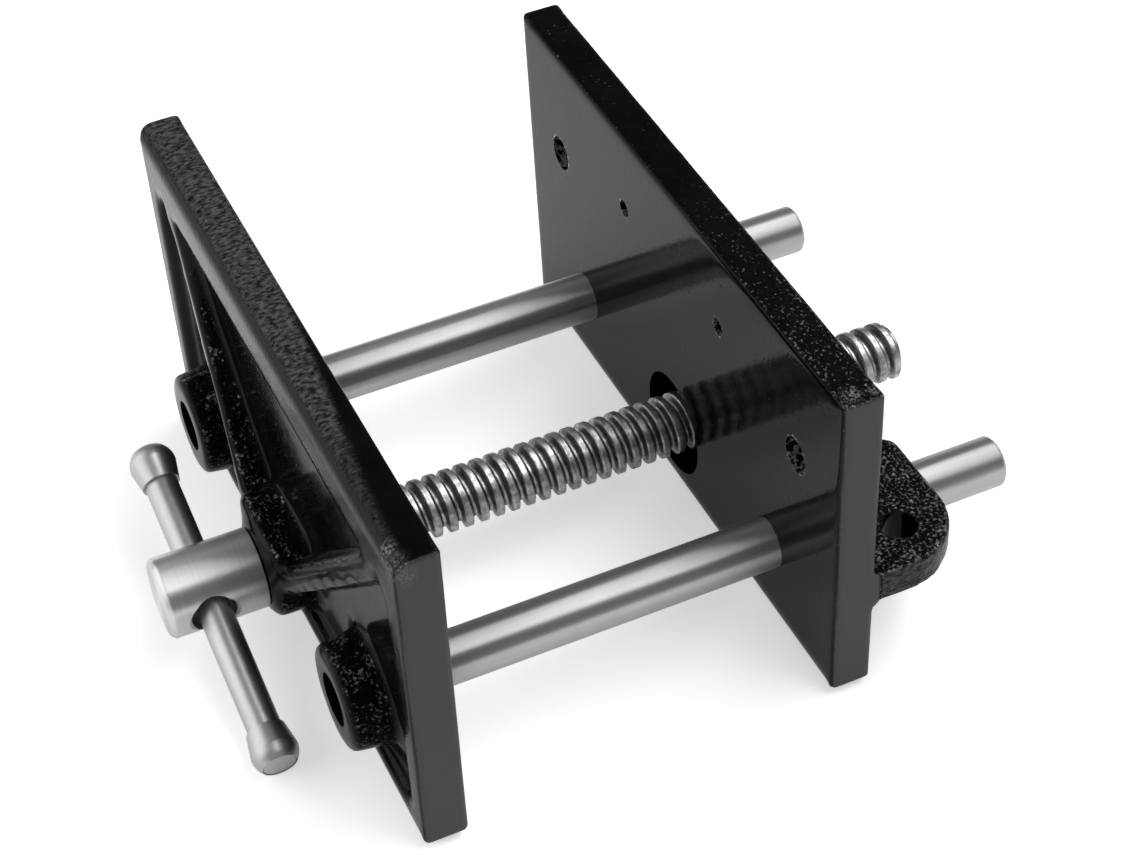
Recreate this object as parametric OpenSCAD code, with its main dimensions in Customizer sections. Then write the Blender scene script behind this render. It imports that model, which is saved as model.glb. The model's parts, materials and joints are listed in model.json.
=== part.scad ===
// Woodworking vise: a fixed rear jaw that bolts under the edge of a bench top, and a
// ribbed front jaw that slides on two guide rods and is drawn in by a lead screw.
// The origin is midway between the two bench bolt holes, on the top plane of the ears.
// X runs along the jaws, Y from the front jaw to the rear jaw, Z up.

/* [Jaws] */
// Width of both jaws
jaw_w = 165; // [156:1:200]
// Height of both jaws
jaw_h = 87.5; // [82:0.5:100]
// Thickness of the rear jaw's plate
rear_jaw_t = 10; // [8:0.5:14]
// Thickness of the front jaw at its rim
front_jaw_t = 10.5; // [9:0.5:14]
// Rise of the jaws' top edge above the ears' top plane, the thickest bench top it takes
jaw_rise = 54.5; // [50:0.5:60]
// Amount by which each end of a jaw leans in between top and bottom
end_draft = 1.5; // [0:0.5:3]
// Distance between the jaws as drawn
opening = 89.5; // [2:0.5:114]
// Rounding of the front jaw's upper front edge
lip_r = 4; // [2:0.5:6]
// Rounding of the jaws' other long edges
edge_r = 0.8; // [0.4:0.1:2]
// Rounding of the jaws' upright edges
corner_r = 1.2; // [0.6:0.2:4]

/* [Front jaw casting] */
// Depth of the pocket between the rims
pocket_d = 3; // [1.5:0.5:4.5]
// Height of the rim along the top, from the top edge down to the pocket
top_rim = 14; // [12:0.5:20]
// Width of the rims at the two ends
end_rim = 7.5; // [5:0.5:9]
// Height of the rim along the bottom
bottom_rim = 5; // [4.5:0.5:12]
// Rounding of the pocket's corners
pocket_r = 4; // [2:0.5:6]
// Width of the two ribs that spread from the hub to the upper corners
rib_w = 6.5; // [5:0.5:12]
// Slope of the ribs
rib_angle = 43.5; // [41:0.5:46]
// Distance below the screw's axis at which the ribs' centre lines meet
rib_meet_drop = 6.9; // [0:0.1:8]
// Length of a rib's outer stretch that is level with the rim
rib_level = 8; // [4:1:16]
// Distance by which a rib stays below the hub's front
rib_below_hub = 1.5; // [0.5:0.5:3]
// Height of the hub's front above the rim
hub_proud = 7; // [6:0.1:12]
// Width of the hub round the screw
hub_w = 26; // [25:0.5:34]
// Height of the hub's flat top above the screw's axis
hub_top = 13.4; // [13.2:0.1:18]
// Rounding of the hub's upper corners
hub_r = 4; // [3:0.5:8]
// Diameter of the machined seat that the screw's head bears on
seat_d = 22; // [21:0.5:26]
// Height of that seat
seat_t = 1.1; // [0.4:0.1:1.5]

/* [Rear jaw casting] */
// Distance from the rear jaw's gripping face back to the bench bolt holes
bolt_setback = 22.5; // [20:0.5:30]
// Spacing of the two bench bolt holes
bolt_spacing = 139.4; // [130:0.2:141]
// Diameter of a bench bolt hole
bolt_hole_d = 8.5; // [6:0.5:10]
// Thickness of the ears
ear_t = 8; // [6:0.5:10]
// Width of an ear along the jaw
ear_w = 40; // [36:0.5:46]
// Distance that an ear reaches back past its bolt hole
ear_past = 13.5; // [10:0.5:18]
// Rounding of an ear's outer corner
ear_r = 17; // [10:0.5:20]
// Rounding of an ear's inner corner
ear_inner_r = 5; // [2:0.5:8]
// Leg of the fillet below an ear
ear_fillet = 3; // [2:0.5:5]
// Leg of the small fillet above it, in the corner that takes the bench's edge
ear_root = 1; // [0.6:0.1:1.5]
// Spacing of the two large screw holes through the rear jaw
screw_hole_spacing = 124; // [110:1:136]
// Diameter of a large screw hole
screw_hole_d = 9; // [6:0.5:10]
// Distance of the large screw holes below the top edge
screw_hole_drop = 29.6; // [24:0.2:36]
// Spacing of the two small holes for a wooden facing
facing_hole_spacing = 49.2; // [36:0.2:70]
// Diameter of a facing hole
facing_hole_d = 4.5; // [3:0.5:6]
// Distance of the facing holes below the top edge
facing_hole_drop = 21.3; // [16:0.1:30]

/* [Guide rods] */
// Diameter of the guide rods
rod_d = 12.5; // [10:0.5:14]
// Distance between the two rods' axes
rod_spacing = 100; // [92:1:108]
// Distance of the rods' axes below the ears' top plane
rod_drop = 12.5; // [12.5:0.1:14]
// Distance that a rod reaches past the rear jaw's gripping face
rod_tail = 60.3; // [45:0.1:80]
// Distance of a rod's front end inside the mouth of its boss
rod_recess = 9; // [4:0.5:10]
// Wall of the bosses round the rods in the front jaw, at their front
front_boss_wall = 6.3; // [5:0.1:8]
// Amount by which such a boss is wider all round at its foot
front_boss_draft = 1; // [0:0.1:1.5]
// Chamfer round its front
front_boss_chamfer = 0.6; // [0.2:0.1:1.5]
// Height of the front rod bosses above the rim
front_boss_proud = 7.5; // [5:0.5:10]
// Wall of the guide bosses round the rods in the rear jaw
guide_wall = 5.9; // [4:0.1:6]
// Radial running clearance of a rod in its guide boss
rod_clearance = 0.15; // [0.1:0.05:0.4]
// Chamfer on the ends of the rods
rod_chamfer = 1; // [0.5:0.1:1.5]
// Diameter of the pins that hold the rods in the front jaw
rod_pin_d = 4; // [3:0.5:5]
// Length of a rod pin
rod_pin_l = 18; // [15:0.5:20]

/* [Lead screw] */
// Outer diameter of the thread
thread_d = 15; // [14:0.5:16]
// Distance from one turn of the thread to the next
pitch = 4; // [3:0.5:5]
// Depth of the thread
thread_depth = 1.9; // [1.2:0.1:2.2]
// Share of the pitch that the thread's flat crest takes
crest_share = 0.44; // [0.3:0.02:0.5]
// Share of the pitch that the flat bottom of the groove takes
root_share = 0.26; // [0.2:0.02:0.3]
// Distance of the screw's axis below the ears' top plane
screw_drop = 16; // [16:0.1:18]
// Distance that the screw's tip reaches past the rear jaw's gripping face
screw_tail = 60.8; // [48:0.1:80]
// Straight sides that one turn of the thread is drawn with
thread_sides = 24; // [16:4:28]
// Angle at which the thread's ridge starts round the screw, as the screw stands
thread_start_angle = 30; // [0:15:345]
// Radial clearance of the screw's plain shank in the hub
shank_clearance = 0.3; // [0.2:0.05:0.6]
// Radial clearance between the screw's thread and the nut's
thread_clearance = 0.35; // [0.25:0.05:0.5]

/* [Screw head and handle] */
// Diameter of the screw's head
head_d = 19.5; // [18:0.5:24]
// Length of the head
head_l = 23.7; // [20:0.1:30]
// Chamfer on the head's outer end
head_chamfer = 1; // [0.5:0.1:2]
// Diameter of the screw's spigot inside the head
spigot_d = 12.5; // [12:0.5:13]
// Thickness of metal left between the spigot and the cross hole
spigot_wall = 0.8; // [0.5:0.1:1.5]
// Diameter of the pin through the head and the spigot
head_pin_d = 3; // [2:0.5:4]
// Distance of that pin from the head's inner end
head_pin_in = 3.2; // [3:0.1:4]
// Diameter of the handle bar
bar_d = 8; // [6:0.5:9]
// Distance of the bar's cross hole from the head's inner end
bar_hole_in = 13.3; // [12.7:0.1:14.5]
// Tilt of the cross hole from level, with its right end down
bar_hole_tilt = 8.3; // [-90:0.1:90]
// Radial clearance round the bar in its cross hole
bar_clearance = 1.5; // [0.6:0.1:1.6]
// Gap left where the leaning bar rests on the edges of its hole
bar_rest_gap = 0.2; // [0.15:0.05:0.4]
// Direction in which the bar rests, from straight below toward the jaw
bar_rest_angle = 21; // [-45:1:45]
// Countersink round the mouths of the cross hole
bar_hole_sink = 0.8; // [0.2:0.1:1]
// Overall length of the handle bar
bar_l = 87.5; // [70:0.5:120]
// Distance that the bar is pushed off centre, toward the right
bar_shift = 5.6; // [-15:0.1:15]
// Distance by which a rounded stop reaches past the cross hole all round, so it can't pass
stop_over = 0.1; // [0.1:0.1:2]
// Length of a stop along the bar
stop_l = 9.2; // [8:0.2:12]
// Step from the bar up to a stop's inner end
stop_step = 0.6; // [0.3:0.1:1]
// Width of the flat ring round the bar's end
stop_ring = 0.2; // [0.1:0.1:1]

/* [Nut and retaining collar] */
// Outer diameter of the nut's body
nut_d = 23; // [20:0.5:24]
// Diameter of the nut's flange
nut_flange_d = 30; // [28:0.5:31]
// Thickness of the nut's flange
nut_flange_t = 4; // [3:0.5:6]
// Length of the boss that holds the nut
nut_boss_l = 24; // [18:0.5:28]
// Diameter of that boss
nut_boss_d = 31; // [30:0.5:31.5]
// Diameter of the set screw that keeps the nut from turning
set_screw_d = 5; // [4:0.5:6]
// Distance that the set screw enters the nut
set_screw_bite = 2; // [1:0.5:2.5]
// Hexagon socket of the set screw, across its flats
set_socket = 2.5; // [2:0.5:3]
// Diameter of the clearance hole in the rear jaw, which the collar enters
collar_hole_d = 26.5; // [25:0.5:28]
// Diameter of the thrust washer behind the front jaw
washer_d = 24; // [22:0.5:24.5]
// Thickness of the thrust washer, which is let in flush behind the front jaw
washer_t = 1.6; // [1:0.1:2]
// Radial clearance round the washer in its counterbore
washer_clearance = 0.4; // [0.2:0.1:1]
// Diameter of the retaining collar
collar_d = 22; // [20:0.5:24]
// Length of the retaining collar
collar_l = 7; // [6:0.5:7.5]
// Diameter of the pin through the collar and the screw
collar_pin_d = 3; // [2:0.5:3.5]

/* [Fits] */
// Gap round a piece that is pressed or pinned in place
press_gap = 0.05; // [0.02:0.01:0.1]
// Running gap between faces that turn or slide on each other
run_gap = 0.2; // [0.1:0.05:0.4]
// Gap left between the jaws when they are closed
closed_gap = 0.2; // [0.1:0.1:1]

/* [Hidden] */
$fn = 64;
// Small overlap that joins two solids of one piece
join = 0.5;
// Length by which a cut runs past the face that it opens
past = 1;
// Distance of a cross pin's ends inside the round surface that it passes through
pin_end_in = 0.3;

// Places along Z
jaw_top = jaw_rise;
jaw_bottom = jaw_rise - jaw_h;
rod_z = -rod_drop;
screw_z = -screw_drop;
// Places along Y
grip_y = -bolt_setback;
rear_back_y = grip_y + rear_jaw_t;
ear_back_y = ear_past;
nut_back_y = rear_back_y + nut_boss_l;
inner_y = grip_y - opening;
rim_y = inner_y - front_jaw_t;
pocket_y = rim_y + pocket_d;
hub_y = rim_y - hub_proud;
seat_y = hub_y - seat_t;
boss_y = rim_y - front_boss_proud;
head_back_y = seat_y - run_gap;
head_front_y = head_back_y - head_l;
bar_hole_y = head_back_y - bar_hole_in;
rod_front_y = boss_y + rod_recess;
rod_back_y = grip_y + rod_tail;
screw_tip_y = grip_y + screw_tail;
washer_y = inner_y - washer_t;
collar_y = inner_y + run_gap;
thread_y = collar_y + collar_l;
collar_pin_y = collar_y + collar_l / 2;
head_pin_y = head_back_y - head_pin_in;
rod_pin_y = rim_y + front_jaw_t / 2;
set_screw_y = rear_back_y + nut_boss_l / 2;
// Radii
rod_r = rod_d / 2;
boss_r = rod_r + front_boss_wall;
guide_r = rod_r + guide_wall;
root_r = thread_d / 2 - thread_depth;
bar_hole_r = bar_d / 2 + bar_clearance;
// Distance from the screw's axis out to the near edge of the cross hole's mouths
bar_hole_edge = sqrt(pow(head_d / 2, 2) - pow(bar_hole_r, 2));
// Lean of the bar inside its loose hole, where its heavier right end hangs down
bar_play = bar_clearance - bar_rest_gap;
bar_lean = atan(bar_play * cos(bar_rest_angle) / bar_hole_edge);
stop_r = bar_hole_r + stop_over;
spigot_r = spigot_d / 2;
spigot_y = bar_hole_y + bar_hole_r + spigot_wall;

// Solid from one outline seen from the front, between two places along Y
module slab(y0, y1) {
    translate([0, y1, 0]) rotate([90, 0, 0]) linear_extrude(y1 - y0) children();
}

// Round bar along Y, between two places
module bar_y(r, y0, y1) {
    translate([0, y0, 0]) rotate([-90, 0, 0]) cylinder(r = r, h = y1 - y0);
}

// Solid of revolution about Y, from a profile of radius against distance along Y
module turned_y() {
    rotate([-90, 0, 0]) rotate_extrude() children();
}

// Rectangle with round corners, centred on the origin
module round_box(w, h, r) {
    square([w - 2 * r, h], center = true);
    square([w, h - 2 * r], center = true);
    for (x = [-1, 1], y = [-1, 1]) translate([x * (w / 2 - r), y * (h / 2 - r)]) circle(r = r);
}

// Side outline of a jaw's plate, rounded along the top by its own radius front and back
module jaw_side(y0, y1, front_r, back_r) {
    difference() {
        translate([y0, jaw_bottom]) square([y1 - y0, jaw_h]);
        translate([y0 - past, jaw_top - front_r]) square([front_r + past, front_r + past]);
        translate([y1 - back_r, jaw_top - back_r]) square([back_r + past, back_r + past]);
    }
    translate([y0 + front_r, jaw_top - front_r]) circle(r = front_r);
    translate([y1 - back_r, jaw_top - back_r]) circle(r = back_r);
}

// Long bar whose right end leans in toward the bottom and has round upright edges
module leaning_end(y0, y1) {
    translate([jaw_w / 2, 0, jaw_top]) rotate([0, atan2(end_draft, jaw_h), 0])
        translate([-jaw_w, (y0 + y1) / 2, -2 * jaw_h]) linear_extrude(3 * jaw_h)
            round_box(2 * jaw_w, y1 - y0, corner_r);
}

// Plate of a jaw
module jaw_plate(y0, y1, front_r, back_r) {
    intersection() {
        translate([-jaw_w / 2, 0, 0]) rotate([90, 0, 90])
            linear_extrude(jaw_w) jaw_side(y0, y1, front_r, back_r);
        leaning_end(y0, y1);
        mirror([1, 0, 0]) leaning_end(y0, y1);
    }
}

// Plan outline of the right-hand ear, rounded at its two back corners
module ear_plan() {
    x1 = jaw_w / 2 - end_draft * jaw_rise / jaw_h;
    x0 = x1 - ear_w;
    difference() {
        translate([x0, rear_back_y - join]) square([ear_w, ear_back_y - rear_back_y + join]);
        translate([x1 - ear_r, ear_back_y - ear_r]) square(ear_r + past);
        translate([x0 - past, ear_back_y - ear_inner_r]) square([ear_inner_r + past, ear_inner_r + past]);
    }
    translate([x1 - ear_r, ear_back_y - ear_r]) circle(r = ear_r);
    translate([x0 + ear_inner_r, ear_back_y - ear_inner_r]) circle(r = ear_inner_r);
}

// Fillet along the back of the plate, with its corner at a height, up or down from there
module ear_corner(leg, x1, z, turn) {
    translate([x1 - ear_w, rear_back_y, z]) mirror([0, 0, turn]) rotate([90, 0, 90])
        linear_extrude(ear_w) difference() {
            translate([-join, -join]) square(leg + join);
            translate([leg, leg]) circle(r = leg);
        }
}

// Ear for one bench bolt, with the fillets below and above it
module ear() {
    draft = end_draft / jaw_h;
    translate([0, 0, -ear_t]) linear_extrude(ear_t) ear_plan();
    ear_corner(ear_fillet, jaw_w / 2 - draft * (jaw_rise + ear_t + ear_fillet), -ear_t, 1);
    ear_corner(ear_root, jaw_w / 2 - draft * jaw_rise, 0, 0);
}

module rear_jaw() {
    color("#1d1d1f") difference() {
        union() {
            jaw_plate(grip_y, rear_back_y, edge_r, edge_r);
            for (side = [0, 1]) mirror([side, 0, 0]) {
                ear();
                translate([rod_spacing / 2, 0, rod_z]) bar_y(guide_r, rear_back_y - join, ear_back_y);
            }
            translate([0, 0, screw_z]) bar_y(nut_boss_d / 2, rear_back_y - join, nut_back_y);
        }
        for (side = [-1, 1]) {
            translate([side * bolt_spacing / 2, 0, -ear_t - past])
                cylinder(d = bolt_hole_d, h = ear_t + 2 * past);
            translate([side * rod_spacing / 2, 0, rod_z])
                bar_y(rod_r + rod_clearance, grip_y - past, ear_back_y + past);
            translate([side * screw_hole_spacing / 2, 0, jaw_top - screw_hole_drop])
                bar_y(screw_hole_d / 2, grip_y - past, rear_back_y + past);
            translate([side * facing_hole_spacing / 2, 0, jaw_top - facing_hole_drop])
                bar_y(facing_hole_d / 2, grip_y - past, rear_back_y + past);
        }
        translate([0, 0, screw_z]) {
            bar_y(collar_hole_d / 2, grip_y - past, rear_back_y);
            bar_y(nut_d / 2 + press_gap, rear_back_y - past, nut_back_y + past);
        }
        translate([0, set_screw_y, screw_z - nut_boss_d / 2 - past])
            cylinder(d = set_screw_d + 2 * press_gap, h = nut_boss_d / 2 + past);
    }
}

// Rib from the hub up to the right-hand corner of the pocket, sinking to the rim on the way
module rib() {
    meet_z = screw_z - rib_meet_drop;
    inner = hub_w / 2 / cos(rib_angle);
    outer = (jaw_top - top_rim - meet_z) / sin(rib_angle);
    translate([0, 0, meet_z]) rotate([0, -rib_angle, 0]) translate([0, 0, -rib_w / 2])
        linear_extrude(rib_w) polygon([
            [inner - rib_w, pocket_y + join],
            [outer, pocket_y + join],
            [outer, rim_y],
            [outer - rib_level, rim_y],
            [inner, hub_y + rib_below_hub],
            [inner - rib_w, hub_y + rib_below_hub]
        ]);
}

// Right-hand boss round the front end of a rod
module front_boss() {
    c = front_boss_chamfer;
    translate([rod_spacing / 2, 0, rod_z]) turned_y() polygon([
        [0, boss_y],
        [boss_r - c, boss_y],
        [boss_r, boss_y + c],
        [boss_r + front_boss_draft, pocket_y],
        [boss_r + front_boss_draft, pocket_y + join],
        [0, pocket_y + join]
    ]);
}

// Front outline of the hub, round below the screw and square above it
module hub_outline() {
    circle(d = hub_w);
    intersection() {
        round_box(hub_w, 2 * hub_top, hub_r);
        translate([-hub_w / 2, 0]) square([hub_w, hub_top]);
    }
}

// Pocket outline between the rims, seen from the front
module pocket_outline() {
    w = jaw_w - 2 * end_rim - 2 * end_draft;
    h = jaw_h - top_rim - bottom_rim;
    translate([0, jaw_bottom + bottom_rim + h / 2]) round_box(w, h, pocket_r);
}

module front_jaw() {
    color("#1d1d1f") difference() {
        union() {
            difference() {
                jaw_plate(rim_y, inner_y, lip_r, edge_r);
                slab(rim_y - past, pocket_y) pocket_outline();
            }
            for (side = [0, 1]) mirror([side, 0, 0]) {
                rib();
                front_boss();
            }
            translate([0, 0, screw_z]) slab(hub_y, pocket_y + join) hub_outline();
            translate([0, 0, screw_z]) bar_y(seat_d / 2, seat_y, hub_y + join);
        }
        translate([0, 0, screw_z]) {
            bar_y(thread_d / 2 + shank_clearance, seat_y - past, inner_y + past);
            bar_y(washer_d / 2 + washer_clearance, washer_y - run_gap, inner_y + past);
        }
        for (side = [-1, 1]) {
            translate([side * rod_spacing / 2, 0, rod_z])
                bar_y(rod_r + press_gap, boss_y - past, inner_y + past);
            translate([side * rod_spacing / 2, rod_pin_y, jaw_bottom - past])
                cylinder(d = rod_pin_d + 2 * press_gap, h = rod_z - jaw_bottom + past);
        }
    }
}

// Guide rod: plain bar with chamfered ends, cross-drilled for its pin
module guide_rod(side) {
    c = rod_chamfer;
    color("#b9bbbd") difference() {
        translate([side * rod_spacing / 2, 0, rod_z]) turned_y() polygon([
            [0, rod_front_y],
            [rod_r - c, rod_front_y],
            [rod_r, rod_front_y + c],
            [rod_r, rod_back_y - c],
            [rod_r - c, rod_back_y],
            [0, rod_back_y]
        ]);
        translate([side * rod_spacing / 2, rod_pin_y, rod_z - rod_r - past])
            cylinder(d = rod_pin_d + 2 * press_gap, h = rod_r + past);
    }
}

module left_guide_rod() {
    guide_rod(-1);
}

module right_guide_rod() {
    guide_rod(1);
}

// Pin driven up through the front jaw's lower edge into the middle of a rod
module rod_pin(side) {
    color("#8d8f92") translate([side * rod_spacing / 2, rod_pin_y, rod_z - press_gap - rod_pin_l])
        cylinder(d = rod_pin_d, h = rod_pin_l);
}

module left_rod_pin() {
    rod_pin(-1);
}

module right_rod_pin() {
    rod_pin(1);
}

// Points of the thread's profile over one pitch, each as a share of the pitch and a radius
function thread_profile(root, crest, crest_w) =
    let (flank = (1 - root_share - crest_share) / 2, low = (1 - crest_w) / 2 - flank)
    [[0, root], [low, root], [low + flank, crest], [low + flank + crest_w, crest]];

// Closed helical thread along Z from 0 to len, whose ridge fades into the core at both ends
module helix(root, crest, crest_w, len, fade_in, fade_out) {
    prof = thread_profile(root, crest, crest_w);
    k = len(prof);
    n = thread_sides;
    rows = k * (ceil(len / pitch) + 2);
    function row_z(i, j) = pitch * (floor(i / k) + prof[i % k][0] + j / n - 1);
    function row_r(i, z) = min(
        prof[i % k][1],
        root + (crest - root) * max(0, z / fade_in),
        root + (crest - root) * max(0, (len - z) / fade_out)
    );
    function index(i, j) =
        let (z = row_z(i, j), base = rows * n)
        z <= 0.01 ? base + j % n :
        z >= len - 0.01 ? base + n + j % n :
        j == n ? (i + k) * n : i * n + j;
    function corner(r, j, z) =
        let (a = 360 * j / n + thread_start_angle)
        [r * cos(a), r * sin(a), z];
    points = concat(
        [for (i = [0 : rows - 1], j = [0 : n - 1]) let (z = row_z(i, j)) corner(row_r(i, z), j, z)],
        [for (j = [0 : n - 1]) corner(root, j, 0)],
        [for (j = [0 : n - 1]) corner(root, j, len)]
    );
    function solid(t) = t[0] != t[1] && t[1] != t[2] && t[2] != t[0];
    sides = [
        for (i = [0 : rows - 2], j = [0 : n - 1])
            let (a = index(i, j), b = index(i + 1, j), c = index(i + 1, j + 1), d = index(i, j + 1))
            for (t = [[a, b, c], [a, c, d]]) if (solid(t)) t
    ];
    ends = [[for (j = [0 : n - 1]) rows * n + j], [for (j = [n - 1 : -1 : 0]) rows * n + n + j]];
    polyhedron(points = points, faces = concat(sides, ends));
}

// Spigot, plain shank and thread, which turns once for each pitch of the jaw's travel
module lead_screw() {
    color("#6f7073") difference() {
        translate([0, 0, screw_z]) {
            bar_y(spigot_r, spigot_y, head_back_y + join);
            bar_y(thread_d / 2, head_back_y, thread_y);
            translate([0, thread_y - join, 0]) rotate([-90, 0, 0])
                helix(root_r, thread_d / 2, crest_share, screw_tip_y - thread_y + join, pitch, pitch / 2);
        }
        head_pin_hole();
        collar_pin_hole();
    }
}

// Cross hole for the handle bar, with its two countersunk mouths
module bar_hole() {
    reach = bar_hole_sink + past;
    for (turn = [-90, 90]) translate([0, bar_hole_y, screw_z]) rotate([0, turn + bar_hole_tilt, 0]) {
        cylinder(r = bar_hole_r, h = head_d / 2 + past);
        translate([0, 0, head_d / 2 - bar_hole_sink])
            cylinder(r1 = bar_hole_r, r2 = bar_hole_r + reach, h = reach);
    }
}

module head_pin_hole() {
    translate([0, head_pin_y, screw_z]) rotate([0, 90, 0])
        cylinder(d = head_pin_d + 2 * press_gap, h = head_d + 2 * past, center = true);
}

module collar_pin_hole() {
    translate([0, collar_pin_y, screw_z])
        cylinder(d = collar_pin_d + 2 * press_gap, h = collar_d + 2 * past, center = true);
}

module screw_head() {
    r = head_d / 2;
    c = head_chamfer;
    color("#b2b3b5") difference() {
        translate([0, 0, screw_z]) turned_y() polygon([
            [0, head_front_y],
            [r - c, head_front_y],
            [r, head_front_y + c],
            [r, head_back_y],
            [0, head_back_y]
        ]);
        translate([0, 0, screw_z])
            bar_y(spigot_r + press_gap, spigot_y - press_gap, head_back_y + past);
        bar_hole();
        head_pin_hole();
    }
}

module head_pin() {
    color("#8d8f92") translate([0, head_pin_y, screw_z]) rotate([0, 90, 0])
        cylinder(d = head_pin_d, h = head_d - 2 * pin_end_in, center = true);
}

module thrust_washer() {
    color("#9a9b9d") translate([0, 0, screw_z]) difference() {
        bar_y(washer_d / 2, washer_y, washer_y + washer_t);
        bar_y(thread_d / 2 + shank_clearance, washer_y - past, washer_y + washer_t + past);
    }
}

module retaining_collar() {
    color("#9a9b9d") difference() {
        translate([0, 0, screw_z]) difference() {
            bar_y(collar_d / 2, collar_y, collar_y + collar_l);
            bar_y(thread_d / 2 + press_gap, collar_y - past, collar_y + collar_l + past);
        }
        collar_pin_hole();
    }
}

module collar_pin() {
    color("#8d8f92") translate([0, collar_pin_y, screw_z])
        cylinder(d = collar_pin_d, h = collar_d - 2 * pin_end_in, center = true);
}

// Nut with a flange behind its boss, so that the screw's pull seats it
module screw_nut() {
    color("#a58a4a") difference() {
        translate([0, 0, screw_z]) {
            bar_y(nut_d / 2, rear_back_y, nut_back_y + nut_flange_t);
            bar_y(nut_flange_d / 2, nut_back_y, nut_back_y + nut_flange_t);
        }
        nut_thread();
        translate([0, set_screw_y, screw_z - nut_d / 2 - past])
            cylinder(d = set_screw_d + 2 * press_gap, h = set_screw_bite + past + press_gap);
    }
}

// Groove that the screw's thread runs in, in step with the screw and wider by the clearance
module nut_thread() {
    steps = floor((rear_back_y - thread_y + join) / pitch) - 1;
    start = thread_y - join + steps * pitch;
    turns = ceil((nut_back_y + nut_flange_t - start) / pitch) + 1;
    wider = crest_share + 2 * thread_clearance / pitch * 0.6;
    translate([0, start, screw_z]) rotate([-90, 0, 0])
        helix(root_r + thread_clearance, thread_d / 2 + thread_clearance, wider, turns * pitch, 0.5, 0.5);
}

// Headless screw with a hexagon socket, below the nut
module nut_set_screw() {
    tip = screw_z - nut_d / 2 + set_screw_bite;
    l = set_screw_bite + (nut_boss_d - nut_d) / 2;
    color("#2b2b2d") difference() {
        translate([0, set_screw_y, tip - l]) cylinder(d = set_screw_d, h = l);
        translate([0, set_screw_y, tip - l - past])
            cylinder(d = set_socket / cos(30), h = l / 2 + past, $fn = 6);
    }
}

// Places something along the handle bar where it rests in its hole, with Z toward its right end
module along_bar() {
    translate([0, bar_hole_y + bar_play * sin(bar_rest_angle), screw_z])
        rotate([0, 90 + bar_hole_tilt + bar_lean, 0]) translate([0, 0, bar_shift]) children();
}

module handle_bar() {
    color("#b9bbbd") along_bar() cylinder(d = bar_d, h = bar_l, center = true);
}

// Rounded stop pressed over one end of the bar, flat where the bar's end shows
module bar_stop(side) {
    bore = bar_d / 2 + press_gap;
    flat = sqrt(pow(stop_r, 2) - pow(bore + stop_ring, 2));
    shoulder = stop_l - flat;
    color("#b9bbbd") along_bar() mirror([0, 0, side]) translate([0, 0, bar_l / 2 - flat]) rotate_extrude()
        difference() {
            union() {
                intersection() {
                    circle(r = stop_r);
                    square([stop_r + past, flat]);
                }
                polygon([
                    [0, -shoulder],
                    [bar_d / 2 + stop_step, -shoulder],
                    [stop_r, 0],
                    [0, flat / 2]
                ]);
            }
            translate([-past, -stop_l]) square([bore + past, 2 * stop_l]);
        }
}

module left_bar_stop() {
    bar_stop(1);
}

module right_bar_stop() {
    bar_stop(0);
}

rear_jaw();
screw_nut();
nut_set_screw();
front_jaw();
left_guide_rod();
right_guide_rod();
left_rod_pin();
right_rod_pin();
lead_screw();
screw_head();
head_pin();
thrust_washer();
retaining_collar();
collar_pin();
handle_bar();
left_bar_stop();
right_bar_stop();
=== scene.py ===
# Woodworking vise: black cast iron jaws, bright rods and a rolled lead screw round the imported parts
import json
import math

import bmesh
import bpy
import numpy as np
from mathutils import Matrix, Vector
from mathutils.bvhtree import BVHTree
from mathutils.kdtree import KDTree


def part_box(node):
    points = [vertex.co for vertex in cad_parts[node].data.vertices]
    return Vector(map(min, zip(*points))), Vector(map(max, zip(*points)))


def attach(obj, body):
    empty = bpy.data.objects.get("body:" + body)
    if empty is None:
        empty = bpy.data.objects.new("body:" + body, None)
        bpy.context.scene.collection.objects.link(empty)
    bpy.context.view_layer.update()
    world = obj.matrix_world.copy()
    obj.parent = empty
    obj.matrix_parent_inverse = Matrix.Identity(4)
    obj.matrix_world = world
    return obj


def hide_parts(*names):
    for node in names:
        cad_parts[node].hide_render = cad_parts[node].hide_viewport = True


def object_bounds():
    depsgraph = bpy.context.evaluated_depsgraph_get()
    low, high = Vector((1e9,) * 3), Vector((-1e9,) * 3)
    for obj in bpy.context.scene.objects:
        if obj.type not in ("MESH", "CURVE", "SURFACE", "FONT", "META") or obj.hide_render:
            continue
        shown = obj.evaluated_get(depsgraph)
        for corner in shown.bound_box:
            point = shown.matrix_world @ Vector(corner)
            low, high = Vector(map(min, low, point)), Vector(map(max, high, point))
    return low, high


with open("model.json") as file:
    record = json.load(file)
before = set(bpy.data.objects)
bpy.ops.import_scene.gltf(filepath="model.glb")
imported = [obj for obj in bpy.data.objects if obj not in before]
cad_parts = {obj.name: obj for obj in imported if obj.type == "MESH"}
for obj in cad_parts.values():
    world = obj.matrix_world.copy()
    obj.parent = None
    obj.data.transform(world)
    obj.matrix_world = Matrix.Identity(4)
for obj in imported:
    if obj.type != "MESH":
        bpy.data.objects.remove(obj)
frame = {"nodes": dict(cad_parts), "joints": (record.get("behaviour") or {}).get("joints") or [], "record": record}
cadBox = [list(corner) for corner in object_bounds()]
mm = 0.001
print("frame loaded,", len(frame["nodes"]), "nodes")


# Camera at the photograph's angle, with its roll
photoCamera = {
    "place": (430.1 * mm, -225.2 * mm, 418.4 * mm),
    "azimuth": 67.814,
    "elevation": 42.422,
    "roll": -3.444,
    "lens": 83.13,
    "sensor": 36.0,
    "nearest": 10 * mm,
}


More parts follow.
